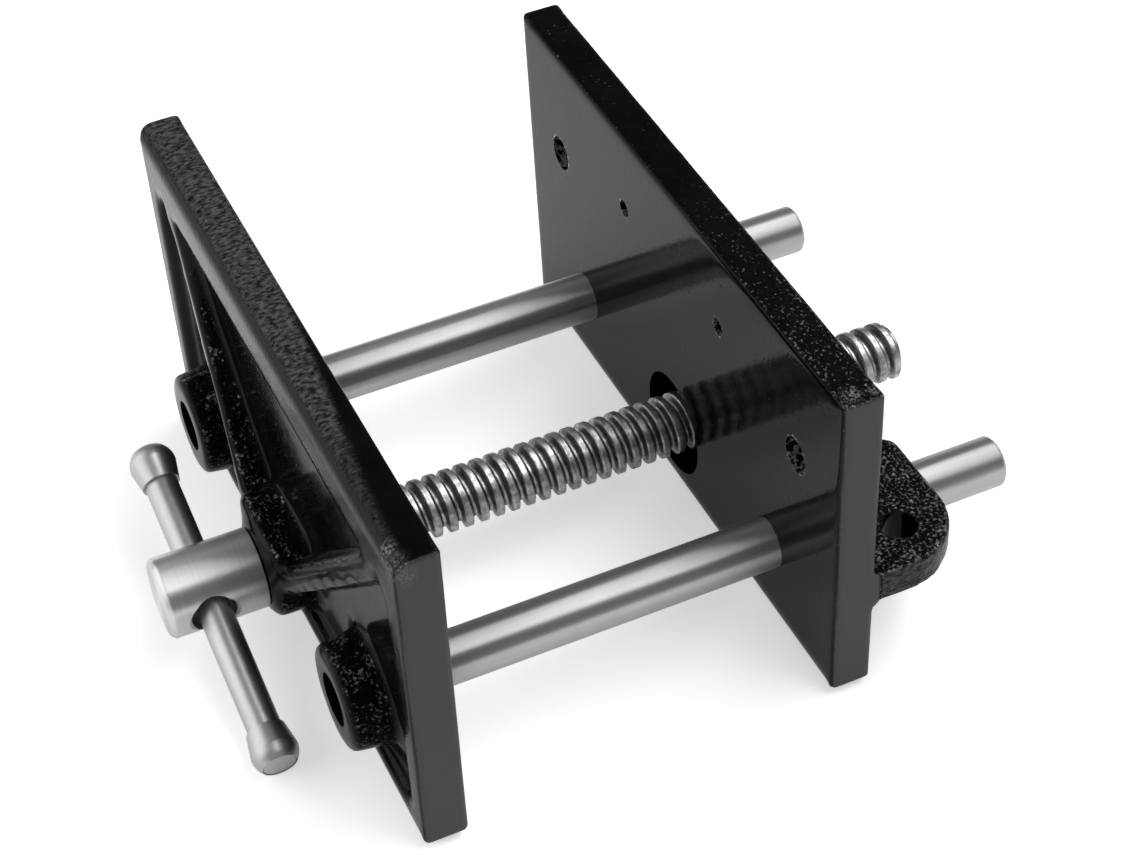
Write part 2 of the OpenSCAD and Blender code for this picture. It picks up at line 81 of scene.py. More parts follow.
def makeCamera(view):
    az, el, roll = (math.radians(view[k]) for k in ("azimuth", "elevation", "roll"))
    back = Vector((math.sin(az) * math.cos(el), -math.cos(az) * math.cos(el), math.sin(el)))
    right = Vector((math.cos(az), math.sin(az), 0))
    up = back.cross(right)
    side = right * math.cos(roll) + up * math.sin(roll)
    top = up * math.cos(roll) - right * math.sin(roll)
    data = bpy.data.cameras.new("photoCamera")
    data.sensor_width = view["sensor"]
    data.sensor_fit = "HORIZONTAL"
    data.lens = view["lens"]
    data.clip_start = view["nearest"]
    camera = bpy.data.objects.new("photoCamera", data)
    turn = Matrix((side, top, back)).transposed().to_4x4()
    camera.matrix_world = Matrix.Translation(view["place"]) @ turn
    bpy.context.collection.objects.link(camera)
    bpy.context.scene.camera = camera


makeCamera(photoCamera)
print("camera set")


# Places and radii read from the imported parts
def middle(node, axis):
    low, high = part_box(node)
    return (low[axis] + high[axis]) / 2


def halfSize(node, axis):
    low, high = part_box(node)
    return (high[axis] - low[axis]) / 2


def mountHoles(name):
    # centre and radius of both holes of a bolt pattern
    mount = next(m for m in frame["record"]["mounts"] if m["name"] == name)
    half = mount["dims"]["spacing_x_mm"] / 2 * mm
    centre = Vector(mount["pos_m"])
    radius = mount["dims"]["hole_r_mm"] * mm
    return [(centre + Vector((side * half, 0, 0)), radius) for side in (-1, 1)]


rodX = middle("right_guide_rod", 0)
rodZ = middle("right_guide_rod", 2)
rodRadius = halfSize("right_guide_rod", 0)
screwZ = middle("lead_screw", 2)
threadRadius = halfSize("lead_screw", 0)
threadPitch = 2 * math.pi / abs(frame["record"]["behaviour"]["couplings"][0]["ratio"])
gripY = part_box("rear_jaw")[0].y
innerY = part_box("front_jaw")[1].y
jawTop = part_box("front_jaw")[1].z
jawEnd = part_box("front_jaw")[1].x


# Meshes as arrays
def getCoords(mesh):
    co = np.empty(len(mesh.vertices) * 3, np.float32)
    mesh.vertices.foreach_get("co", co)
    return co.reshape(-1, 3).astype(float)


def setCoords(mesh, co):
    mesh.vertices.foreach_set("co", co.astype(np.float32).ravel())
    mesh.update()


def getNormals(mesh):
    normals = np.empty(len(mesh.vertices) * 3, np.float32)
    mesh.vertex_normals.foreach_get("vector", normals)
    return normals.reshape(-1, 3).astype(float)


def meshEdges(mesh):
    # both ends of each edge, and how many edges meet at each point
    edges = np.empty(len(mesh.edges) * 2, np.int32)
    mesh.edges.foreach_get("vertices", edges)
    first, second = edges.reshape(-1, 2).T
    count = np.maximum(np.bincount(edges, minlength=len(mesh.vertices)), 1).astype(float)
    return first, second, count


def neighbourMean(co, first, second, count):
    total = np.empty_like(co)
    for axis in range(3):
        total[:, axis] = (np.bincount(first, co[second, axis], len(co))
                          + np.bincount(second, co[first, axis], len(co)))
    return total / count[:, None]


def addMask(mesh, name, values):
    mask = mesh.attributes.get(name) or mesh.attributes.new(name, "FLOAT", "POINT")
    mask.data.foreach_set("value", values.astype(np.float32))


def smoothStep(low, high, x):
    t = np.clip((x - low) / (high - low), 0, 1)
    return t * t * (3 - 2 * t)


def nearEnd(x, end, depths):
    # 0 deeper than the first depth inside an end, 1 nearer than the second
    return smoothStep(end - depths[0], end - depths[1], x)


# Pieces, modifiers and round cutters
def scratchObject(mesh):
    obj = bpy.data.objects.new("scratch", mesh)
    bpy.context.collection.objects.link(obj)
    return obj


def withModifier(mesh, kind, **values):
    # the mesh after one modifier, with the scratch object cleared away
    obj = scratchObject(mesh)
    modifier = obj.modifiers.new(kind.lower(), kind)
    for key, value in values.items():
        setattr(modifier, key, value)
    depsgraph = bpy.context.evaluated_depsgraph_get()
    result = bpy.data.meshes.new_from_object(obj.evaluated_get(depsgraph))
    bpy.data.objects.remove(obj)
    return result


def addPiece(name, mesh, body, slot, material, *nodes):
    obj = bpy.data.objects.new(name, mesh)
    bpy.context.collection.objects.link(obj)
    mesh.materials.clear()
    mesh.materials.append(material)
    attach(obj, body)
    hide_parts(*nodes)


def alongY(x, z, y0, y1, radius):
    return (x, y0, z), (x, y1, z), radius


def barMesh(bars, segments):
    # closed bars, each (centre of its first end, centre of its second end, radius)
    bm = bmesh.new()
    for first, second, radius in bars:
        first, second = Vector(first), Vector(second)
        along = second - first
        turn = along.to_track_quat("Z", "Y").to_matrix().to_4x4()
        place = Matrix.Translation((first + second) / 2) @ turn
        bmesh.ops.create_cone(bm, cap_ends=True, segments=segments, radius1=radius, radius2=radius,
                              depth=along.length, matrix=place)
    mesh = bpy.data.meshes.new("bars")
    bm.to_mesh(mesh)
    bm.free()
    return mesh


def cutAway(mesh, cutter):
    # the mesh less a cutter mesh
    tool = scratchObject(cutter)
    result = withModifier(mesh, "BOOLEAN", operation="DIFFERENCE", solver="MANIFOLD", object=tool)
    bpy.data.objects.remove(tool)
    return result


def shade(mesh, angle=35):
    mesh.polygons.foreach_set("use_smooth", np.ones(len(mesh.polygons), bool))
    mesh.set_sharp_from_angle(angle=math.radians(angle))


# Nodes of the materials
def newMaterial(name):
    material = bpy.data.materials.new(name)
    material.use_nodes = True
    tree = material.node_tree
    return material, tree, tree.nodes["Principled BSDF"]


def addNode(tree, kind, inputs=(), **values):
    node = tree.nodes.new(kind)
    for key, value in values.items():
        setattr(node, key, value)
    for key, value in dict(inputs).items():
        if isinstance(value, bpy.types.NodeSocket):
            tree.links.new(value, node.inputs[key])
        else:
            node.inputs[key].default_value = value
    return node


def objectPoint(tree, scale=(1, 1, 1)):
    place = addNode(tree, "ShaderNodeTexCoord").outputs["Object"]
    return addNode(tree, "ShaderNodeMapping", {"Vector": place, "Scale": scale}).outputs["Vector"]


def noiseAt(tree, point, scale, detail=3.0, rough=0.5):
    inputs = {"Vector": point, "Scale": scale, "Detail": detail, "Roughness": rough}
    return addNode(tree, "ShaderNodeTexNoise", inputs).outputs["Fac"]


def maskOf(tree, name):
    return addNode(tree, "ShaderNodeAttribute", attribute_name=name).outputs["Fac"]


def spread(tree, value, low, high, fromLow=0.0, fromHigh=1.0):
    inputs = {"Value": value, "From Min": fromLow, "From Max": fromHigh, "To Min": low, "To Max": high}
    return addNode(tree, "ShaderNodeMapRange", inputs).outputs["Result"]


def maths(tree, operation, a, b):
    return addNode(tree, "ShaderNodeMath", {0: a, 1: b}, operation=operation).outputs["Value"]


def times(tree, a, b):
    return maths(tree, "MULTIPLY", a, b)


def addUp(tree, total, *values):
    for value in values:
        total = maths(tree, "ADD", total, value)
    return total


def greyRamp(tree, value, dark, light):
    ramp = addNode(tree, "ShaderNodeValToRGB", {"Fac": value})
    ramp.color_ramp.elements[0].color = (*dark, 1)
    ramp.color_ramp.elements[1].color = (*light, 1)
    return ramp.outputs["Color"]


def mixColour(tree, share, first, second):
    # sockets 6, 7 and 2 are the node's two colours and its mixed colour
    return addNode(tree, "ShaderNodeMix", {"Factor": share, 6: first, 7: second},
                   data_type="RGBA").outputs[2]


def bump(tree, height, strength, distance, normal=None):
    inputs = {"Height": height, "Strength": strength, "Distance": distance}
    if normal is not None:
        inputs["Normal"] = normal
    return addNode(tree, "ShaderNodeBump", inputs).outputs["Normal"]


# Black paint on cast iron
blackPaint = {
    "name": "blackPaintedIron",
    "dark": (0.0012, 0.0012, 0.0013),
    "light": (0.005, 0.005, 0.0053),
    "ground": (0.072, 0.072, 0.072),
    # lighter colour of the painted highlight on the wrinkle fold tops
    "foldHighlight": (0.075, 0.075, 0.075),
    # light metal of the flecks: painted glints of the grain, and bare metal where worn
    "fleck": (0.28, 0.28, 0.28),
    "drilled": ((0.006, 0.006, 0.006), (0.6, 0.6, 0.6)),
    "shine": 0.09,
    "valley": 0.01,
    "gloss": 0.1,
    "satin": 0.28,
    "groundDulls": 0.3,
    "fleckDulls": 0.15,
    # more painted glints along edges and foot fillets
    "edgeGlints": 0.16,
    # worn metal scuffs, which also stand in for edge highlights
    "scuffAndHighlightShare": 0.8,
    "cellShare": 0.8,
    "grainSize": 1.3 * mm,
    "grainDepth": 0.75 * mm,
    "skinDepth": 0.05 * mm,
    "pitDepth": 0.02 * mm,
    "scratchDepth": 0.012 * mm,
    # stretches along X, Y and Z
    "grain": (1.1, 0.7, 1.1),
    "folds": (1, 0.45, 1),
    "scratches": (1, 1.6, 0.2),
    # noises: scale, detail, roughness
    "lumpNoise": (0.9 / (1.3 * mm), 5.0, 0.62),
    "patchNoise": (260, 2.0),
    "skinNoise": (1 / (0.4 * mm), 3.0),
    "pitNoise": (1 / (1.6 * mm), 1.0),
    "scratchNoise": (900, 3.0),
    "cloudNoise": (120, 3.0),
    "foldNoise": (1 / (0.8 * mm), 3.0, 0.6),
    "fleckNoise": (1 / (0.85 * mm), 3.0, 0.62),
    "scuffAndHighlightNoise": (1600, 4.0, 0.6),
    "speckleNoise": (620, 3.0, 0.6),
    # spreads: low and high, from low and high
    "patchGrain": (0.6, 1.0, 0.35, 0.6),
    "skinSpread": (0.0, 1.0, 0.1, 1.0),
    "pitSpread": (0, -1, 0.66, 0.74),
    "foldSpread": (0, 1, 0.4, 0.62),
    "patchGlints": (-0.13, 0.1, 0.3, 0.7),
    "smoothGlints": (-0.2, 0),
    "fleckSpread": (0, 1, 0.56, 0.84),
    "grittySpread": (0, 1, 0.02, 0.2),
    "scuffAndHighlightSpread": (0, 1, 0.45, 0.6),
    "speckleSpread": (0, 1, 0.48, 0.62),
    "cloudSheen": (-0.03, 0.05),
}
rearChanges = {
    "name": "blackPaintedRear",
    "grain": (1, 1, 1),
    "gloss": 0.07,
    "edgeGlints": 0.05,
    "patchGlints": (-0.05, 0.05, 0.3, 0.7),
    "fleckSpread": (0, 1, 0.52, 0.78),
}


def paintedIron(paint):
    material, tree, shader = newMaterial(paint["name"])
    point = objectPoint(tree)
    masks = {name: maskOf(tree, name) for name in
             ("rough", "ground", "bored", "edge", "worn", "gritty", "dull", "wrinkled")}
    rough, ground, bored = masks["rough"], masks["ground"], masks["bored"]

    # sand grain, fine paint skin, pits and grinding lines
    grain = objectPoint(tree, paint["grain"])
    cells = addNode(tree, "ShaderNodeTexVoronoi", {"Vector": grain, "Scale": 1 / paint["grainSize"]},
                    feature="SMOOTH_F1").outputs["Distance"]
    lumps = noiseAt(tree, grain, *paint["lumpNoise"])
    height = maths(tree, "SUBTRACT", lumps, times(tree, cells, paint["cellShare"]))
    patches = noiseAt(tree, point, *paint["patchNoise"])
    strong = times(tree, rough, spread(tree, patches, *paint["patchGrain"]))
    normal = bump(tree, height, strong, paint["grainDepth"])
    skin = noiseAt(tree, point, *paint["skinNoise"])
    normal = bump(tree, skin, spread(tree, rough, *paint["skinSpread"]), paint["skinDepth"], normal)
    pits = spread(tree, noiseAt(tree, point, *paint["pitNoise"]), *paint["pitSpread"])
    normal = bump(tree, pits, spread(tree, rough, 1.0, 0.0), paint["pitDepth"], normal)
    lines = noiseAt(tree, objectPoint(tree, paint["scratches"]), *paint["scratchNoise"])
    normal = bump(tree, lines, ground, paint["scratchDepth"], normal)

    # how many metallic flecks show: painted glints where the grain stands up and along edges and fillets, and worn
    # edges and spots, partly bare metal and partly painted edge highlight
    grit = addUp(tree, noiseAt(tree, point, *paint["fleckNoise"]),
                 times(tree, masks["edge"], paint["edgeGlints"]),
                 spread(tree, patches, *paint["patchGlints"]),
                 spread(tree, masks["gritty"], *paint["smoothGlints"]))
    tip = spread(tree, grit, *paint["fleckSpread"])
    fleck = times(tree, tip, spread(tree, masks["gritty"], *paint["grittySpread"]))
    # worn edges and spots: bare-metal scuffs, which along the end edges also paint in an edge highlight
    scuffAndHighlight = spread(tree, noiseAt(tree, point, *paint["scuffAndHighlightNoise"]), *paint["scuffAndHighlightSpread"])
    scuffAndHighlight = times(tree, times(tree, masks["worn"], scuffAndHighlight), paint["scuffAndHighlightShare"])
    fleck = maths(tree, "MAXIMUM", fleck, scuffAndHighlight)

    # black paint, ground ends, painted highlight on the wrinkle fold tops, metallic flecks standing in for glints
    # and worn metal, and drilled walls
    cloud = noiseAt(tree, point, *paint["cloudNoise"])
    colour = greyRamp(tree, cloud, paint["dark"], paint["light"])
    colour = mixColour(tree, ground, colour, (*paint["ground"], 1))
    # painted highlight: the tops of the wrinkle folds are painted lighter
    folds = noiseAt(tree, objectPoint(tree, paint["folds"]), *paint["foldNoise"])
    foldHighlight = times(tree, masks["wrinkled"], spread(tree, folds, *paint["foldSpread"]))
    colour = mixColour(tree, foldHighlight, colour, (*paint["foldHighlight"], 1))
    # flecks: light metallic dots standing in for glints, and bare metal where worn
    colour = mixColour(tree, fleck, colour, (*paint["fleck"], 1))
    speckle = spread(tree, noiseAt(tree, point, *paint["speckleNoise"]), *paint["speckleSpread"])
    colour = mixColour(tree, bored, colour, greyRamp(tree, speckle, *paint["drilled"]))
    shiny = maths(tree, "MAXIMUM", fleck, times(tree, bored, speckle))
    valley = times(tree, masks["dull"], maths(tree, "SUBTRACT", 1, tip))
    sheen = addUp(tree, spread(tree, rough, paint["gloss"], paint["satin"]),
                  times(tree, ground, paint["groundDulls"]),
                  times(tree, fleck, paint["fleckDulls"]),
                  spread(tree, cloud, *paint["cloudSheen"]))
    sockets = {"Base Color": colour, "Metallic": shiny, "Roughness": sheen, "Normal": normal,
               "Specular IOR Level": spread(tree, valley, paint["shine"], paint["valley"])}
    for socket, value in sockets.items():
        tree.links.new(value, shader.inputs[socket])
    return material


# Bright and blackened steel
turnedFinish = {
    "dark": (0.42, 0.42, 0.42),
    "light": (0.54, 0.54, 0.54),
    "smooth": 0.39,
    "dull": 0.43,
    "lineDepth": 0.004 * mm,
    "lineStrength": 0.6,
    "lineNoise": (1.0, 4.0, 0.6),
    "cloudNoise": (90, 3.0),
    "cloudRange": (0.3, 0.7),
    "brushed": 0.84,
    "brushTurn": 0.25,
    "streaks": (2600, 60, 2600),  # how the fine lines stretch along X, Y and Z
}
# the head's steel is painted lighter than the rods' to stand in for the light it catches
litHeadFinish = {**turnedFinish, "dark": (0.64, 0.64, 0.64), "light": (0.8, 0.8, 0.8),
              "streaks": (60, 2600, 60)}
plainFinish = {**turnedFinish, "dark": (0.46, 0.46, 0.46), "light": (0.57, 0.57, 0.57),
               "smooth": 0.38, "dull": 0.44, "brushed": 0, "streaks": (900, 900, 900)}
barFinish = {**plainFinish, "streaks": (500, 2600, 1500)}
blackFinish = {**plainFinish, "dark": (0.02, 0.02, 0.02), "light": (0.05, 0.05, 0.05),
               "smooth": 0.35, "dull": 0.5, "lineDepth": 0.01 * mm}


def turnedSteel(name, finish):
    material, tree, shader = newMaterial(name)
    lines = noiseAt(tree, objectPoint(tree, finish["streaks"]), *finish["lineNoise"])
    cloud = noiseAt(tree, objectPoint(tree), *finish["cloudNoise"])
    sheen = spread(tree, cloud, finish["smooth"], finish["dull"], *finish["cloudRange"])
    steel = greyRamp(tree, lines, finish["dark"], finish["light"])
    tree.links.new(steel, shader.inputs["Base Color"])
    tree.links.new(sheen, shader.inputs["Roughness"])
    normal = bump(tree, lines, finish["lineStrength"], finish["lineDepth"])
    tree.links.new(normal, shader.inputs["Normal"])
    shader.inputs["Metallic"].default_value = 1.0
    if finish["brushed"]:
        # fine lines round the Y axis spread the highlight along it
        shader.inputs["Anisotropic"].default_value = finish["brushed"]
        shader.inputs["Anisotropic Rotation"].default_value = finish["brushTurn"]
        tangent = addNode(tree, "ShaderNodeTangent", direction_type="RADIAL", axis="Y")
        tree.links.new(tangent.outputs["Tangent"], shader.inputs["Tangent"])
    return material


# Rolled steel of the thread, with painted shade along one flank of each groove
threadFinish = {
    # dark colour of the painted shade in the grooves
    "grooveShade": (0.02, 0.02, 0.02),
    "dark": (0.2, 0.2, 0.2),
    "light": (0.62, 0.62, 0.62),
    "stretch": (9, 0.7, 1),  # lines in a turn, and how they stretch round it
    "lineNoise": (1.0, 4.0, 0.65),
    "patchNoise": (620, 4.0, 0.62),
    "lineSpread": (0, 0.65, 0.3, 0.7),
    "patchSpread": (-0.25, 0.5, 0.35, 0.65),
    "rough": 0.46,
    "worn": 0.34,
    "lineDepth": 0.05 * mm,
    "lineStrength": 1.0,
    "patchStrength": 0.6,
}


def rolledThread(finish):
    material, tree, shader = newMaterial("rolledThreadSteel")
    # painted shade: the flank of each groove that faces the rear jaw is darkened
    grooveShade = maskOf(tree, "grooveShade")
    place = addNode(tree, "ShaderNodeTexCoord").outputs["Object"]
    split = addNode(tree, "ShaderNodeSeparateXYZ", {"Vector": place})

    # rolled lines follow the helix; the seam of the angle is underneath
    height = maths(tree, "SUBTRACT", split.outputs["Z"], screwZ)
    around = maths(tree, "ARCTAN2", split.outputs["X"], height)
    turns = maths(tree, "SUBTRACT", maths(tree, "DIVIDE", split.outputs["Y"], threadPitch),
                  maths(tree, "DIVIDE", around, 2 * math.pi))
    along = addNode(tree, "ShaderNodeCombineXYZ", {"X": turns, "Y": around}).outputs["Vector"]
    stretched = addNode(tree, "ShaderNodeMapping", {"Vector": along, "Scale": finish["stretch"]})
    lines = noiseAt(tree, stretched.outputs["Vector"], *finish["lineNoise"])
    patches = noiseAt(tree, objectPoint(tree), *finish["patchNoise"])
    bright = addUp(tree, spread(tree, lines, *finish["lineSpread"]),
                   spread(tree, patches, *finish["patchSpread"]))
    steel = greyRamp(tree, bright, finish["dark"], finish["light"])
    shadedSteel = mixColour(tree, grooveShade, steel, (*finish["grooveShade"], 1))
    tree.links.new(shadedSteel, shader.inputs["Base Color"])
    sheen = spread(tree, bright, finish["rough"], finish["worn"])
    tree.links.new(sheen, shader.inputs["Roughness"])
    normal = bump(tree, lines, finish["lineStrength"], finish["lineDepth"])
    normal = bump(tree, patches, finish["patchStrength"], finish["lineDepth"], normal)
    tree.links.new(normal, shader.inputs["Normal"])
    shader.inputs["Metallic"].default_value = 1.0
    return material


frontPaint = paintedIron(blackPaint)
rearPaint = paintedIron({**blackPaint, **rearChanges})
rodSteel = turnedSteel("drawnSteel", turnedFinish)
litHeadSteel = turnedSteel("litTurnedHeadSteel", litHeadFinish)
plainSteel = turnedSteel("plainSteel", plainFinish)
barSteel = turnedSteel("satinBarSteel", barFinish)
threadSteel = rolledThread(threadFinish)
blackSteel = turnedSteel("blackenedSteel", blackFinish)
print("materials made")


# Jaw castings: foot fillets fill up, edges round over, sand leaves them wavy
jawCasting = {
    "voxel": 0.72 * mm,
    "weld": 0.001 * mm,
    "past": 3 * mm,  # how far a cutter stands out
    "plugExtra": 0.5 * mm,  # how much wider a plug is than its bore
    "boreSegments": 96,
    "boreWall": 0.02 * mm,
    "sharpAngle": 60,
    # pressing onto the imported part
    "reach": 0.5,  # in voxels, as far as an edge draws the points
    "dotSpacing": 0.2,  # in reaches
    "edgeAngle": 25,
    "pressRounds": 5,
    # softening
    "evenShare": 0.5,
    "evenRounds": 8,
    "fillRounds": 20,
    "fillTurn": 4,  # rounds of filling between new normals
    "lastRounds": 2,
    "shadeRounds": 7,
    "crispHold": 0.8,
    "crispEnd": (4.5 * mm, 2.7 * mm),
    "crispTop": (3 * mm, 1.5 * mm),
    "topCrispness": 0.75,
    # waviness: size and height of the waves in millimetres
    "waves": [(9, 0.035), (4.5, 0.012)],
    "waveCount": 24,
    "waveSizes": (0.7, 1.5),
    "faceHold": 0.8,
    "squareFace": (0.8, 0.98),
    "waveEnd": (3.5 * mm, 1.5 * mm),
    # marks
    # bends that get more painted glints
    "glintBend": (0.02, 0.09),
    # worn convex edges near the ends, partly wear and partly painted edge highlight
    "wearAndHighlightBend": (0.05, 0.16),
    "wearAndHighlightEnd": (6 * mm, 4 * mm),
    "wearAndHighlightShare": 0.2,
    "groundFace": (0.6, 0.9),
    "groundDepth": 4 * mm,
    "topFace": (0.5, 0.8),
    "topDepth": 5 * mm,
}


def crispness(co, cast):
    # the ground ends keep crisp edges, the top nearly so
    ends = nearEnd(np.abs(co[:, 0]), jawEnd, cast["crispEnd"])
    top = nearEnd(co[:, 2], jawTop, cast["crispTop"])
    return np.maximum(ends, cast["topCrispness"] * top)


def softenCasting(mesh, cast):
    co = getCoords(mesh)
    links = meshEdges(mesh)
    weight = (cast["evenShare"] * (1 - cast["crispHold"] * crispness(co, cast)))[:, None]
    for _ in range(cast["evenRounds"]):
        co += weight * (neighbourMean(co, *links) - co)
    for step in range(cast["fillRounds"]):
        if step % cast["fillTurn"] == 0:
            setCoords(mesh, co)
            normals = getNormals(mesh)
        out = np.einsum("ij,ij->i", neighbourMean(co, *links) - co, normals)
        co += np.clip(out, 0, None)[:, None] * normals
    for _ in range(cast["lastRounds"]):
        co += weight * (neighbourMean(co, *links) - co)
    setCoords(mesh, co)


def edgeDots(bm, spacing, angle):
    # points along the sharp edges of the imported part
    dots = []
    for edge in bm.edges:
        if edge.is_manifold and edge.calc_face_angle() > math.radians(angle):
            first, second = (v.co for v in edge.verts)
            steps = max(1, round((second - first).length / spacing))
            dots += [first.lerp(second, k / steps) for k in range(steps + 1)]
    tree = KDTree(len(dots))
    for i, dot in enumerate(dots):
        tree.insert(dot, i)
    tree.balance()
    return tree


def pressOnto(mesh, solid, cast):
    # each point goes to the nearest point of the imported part, or to its edge if one is near
    reach = cast["reach"] * cast["voxel"]
    bm = bmesh.new()
    bm.from_mesh(solid)
    surface = BVHTree.FromBMesh(bm)
    edges = edgeDots(bm, cast["dotSpacing"] * reach, cast["edgeAngle"])
    bm.free()
    links = meshEdges(mesh)
    co = getCoords(mesh)
    for step in range(cast["pressRounds"]):
        if step:
            co += cast["evenShare"] * (neighbourMean(co, *links) - co)
        for i, point in enumerate(co):
            dot, _, away = edges.find(point)
            co[i] = dot if away < reach else surface.find_nearest(point)[0]
    setCoords(mesh, co)


def wavyNoise(co, size, seed, cast):
    # smooth noise from a few crossed waves, between about -1 and 1
    rng = np.random.default_rng(seed)
    total = np.zeros(len(co))
    for _ in range(cast["waveCount"]):
        direction = rng.normal(size=3)
        direction /= np.linalg.norm(direction)
        wave = 2 * math.pi / (size * rng.uniform(*cast["waveSizes"]))
        total += np.sin(co @ direction * wave + rng.uniform(0, 2 * math.pi))
    return total / math.sqrt(cast["waveCount"])


def makeWavy(mesh, cast):
    # sand-cast waviness, which the ground ends and the gripping face don't have
    co, normals = getCoords(mesh), getNormals(mesh)
    lift = sum(wavyNoise(co, size * mm, cast["waveSeed"] + k, cast) * height * mm
               for k, (size, height) in enumerate(cast["waves"]))
    lift *= 1 - cast["faceHold"] * smoothStep(*cast["squareFace"], np.abs(normals[:, 1]))
    lift *= 1 - nearEnd(np.abs(co[:, 0]), jawEnd, cast["waveEnd"])
    lift *= cast["waveShare"](co, cast)
    setCoords(mesh, co + normals * lift[:, None])


def rimPoints(mesh):
    # points on sharp edges, which are the rims of the bores
    first, second, _ = meshEdges(mesh)
    sharp = np.empty(len(mesh.edges), bool)
    mesh.attributes["sharp_edge"].data.foreach_get("value", sharp)
    rims = np.zeros(len(mesh.vertices), bool)
    rims[first[sharp]] = rims[second[sharp]] = True
    return rims


def evenNormals(mesh, rims, cast):
    # normals evened with their neighbours, except at the rims and the crisp ends
    first, second, _ = meshEdges(mesh)
    free = ~(rims[first] | rims[second])
    first, second = first[free], second[free]
    ends = np.concatenate([first, second])
    count = np.bincount(ends, minlength=len(mesh.vertices)).astype(float)
    soft = ((1 - crispness(getCoords(mesh), cast)) * (count > 0))[:, None]
    count = np.maximum(count, 1)
    normals = getNormals(mesh)
    for _ in range(cast["shadeRounds"]):
        normals = normals + soft * (neighbourMean(normals, first, second, count) - normals)
        normals /= np.linalg.norm(normals, axis=1)[:, None]
    return normals


def shadeEvenly(mesh, rims, normals):
    # evened normals everywhere but at the rims, which stay sharp
    corners = np.empty(3 * len(mesh.loops))
    mesh.corner_normals.foreach_get("vector", corners)
    corners = corners.reshape(-1, 3)
    points = np.empty(len(mesh.loops), np.int32)
    mesh.loops.foreach_get("vertex_index", points)
    inside = ~rims[points]
    corners[inside] = normals[points[inside]]
    mesh.normals_split_custom_set(corners.tolist())


def markEdges(mesh, cast):
    # edges and foot fillets, where painted glints gather, and the worn places, partly worn paint and partly
    # painted edge highlight
    co = getCoords(mesh)
    hollow = neighbourMean(co, *meshEdges(mesh)) - co
    bend = np.einsum("ij,ij->i", hollow, getNormals(mesh)) / cast["voxel"]
    addMask(mesh, "edge", smoothStep(*cast["glintBend"], np.abs(bend)))
    # convex edges near the ends: worn metal, and also a painted edge highlight
    worn = smoothStep(*cast["wearAndHighlightBend"], -bend) * cast["wearAndHighlightShare"]
    worn *= nearEnd(np.abs(co[:, 0]), jawEnd, cast["wearAndHighlightEnd"])
    for place, reach in cast["wornSpots"]:
        away = np.linalg.norm(co - np.array(place) * mm, axis=1)
        worn = np.maximum(worn, 1 - smoothStep(0, reach * mm, away))
    addMask(mesh, "worn", worn)


def markBores(mesh, bores, cast):
    # drilled walls that show bare iron
    co = getCoords(mesh)
    bored = np.zeros(len(co))
    for first, second, radius in bores:
        first, second = np.array(first), np.array(second)
        along = (second - first) / np.linalg.norm(second - first)
        across = (co - first) - np.outer((co - first) @ along, along)
        bored[np.abs(np.linalg.norm(across, axis=1) - radius) < cast["boreWall"]] = 1
    addMask(mesh, "bored", bored)


def groundEnds(co, normals, cast):
    squarely = smoothStep(*cast["groundFace"], np.abs(normals[:, 0]))
    return squarely * (np.abs(co[:, 0]) > jawEnd - cast["groundDepth"])


def topFace(co, normals, cast):
    return smoothStep(*cast["topFace"], normals[:, 2]) * (co[:, 2] > jawTop - cast["topDepth"])


def insideBore(co, x, z, radius):
    return np.hypot(co[:, 0] - x, co[:, 2] - z) < radius


def paintMasks(mesh, ends, **masks):
    # rough: sand grain; the fleck share: bright flecks, painted glints of the grain; dull: how black it is between
    # them
    for name, values in masks.items():
        addMask(mesh, name, np.clip(values * (1 - ends), 0, 1))
    addMask(mesh, "ground", ends)


def castingMesh(node, plugs, bores, bareBores, cast):
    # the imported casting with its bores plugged, softened, made wavy, and bored again
    bm = bmesh.new()
    bm.from_mesh(frame["nodes"][node].data)
    bm.from_mesh(barMesh(plugs, cast["boreSegments"]))
    bmesh.ops.remove_doubles(bm, verts=bm.verts, dist=cast["weld"])
    solid = bpy.data.meshes.new(node + "Solid")
    bm.to_mesh(solid)
    bm.free()
    mesh = withModifier(solid, "REMESH", mode="VOXEL", voxel_size=cast["voxel"])
    pressOnto(mesh, solid, cast)
    softenCasting(mesh, cast)
    makeWavy(mesh, cast)
    mesh = cutAway(mesh, barMesh(bores, cast["boreSegments"]))
    shade(mesh, cast["sharpAngle"])
    rims = rimPoints(mesh)
    normals = evenNormals(mesh, rims, cast)
    cast["mask"](mesh, normals, cast)
    markEdges(mesh, cast)
    markBores(mesh, bareBores, cast)
    shadeEvenly(mesh, rims, normals)
    print(node, "has", len(mesh.polygons), "faces")
    return mesh


# Front jaw: sand-cast ribs and bosses, smooth rim and pockets, wrinkled top with a painted highlight on its folds
def frontWaves(co, cast):
    return 1 - nearEnd(co[:, 1], innerY, cast["smoothGrip"])


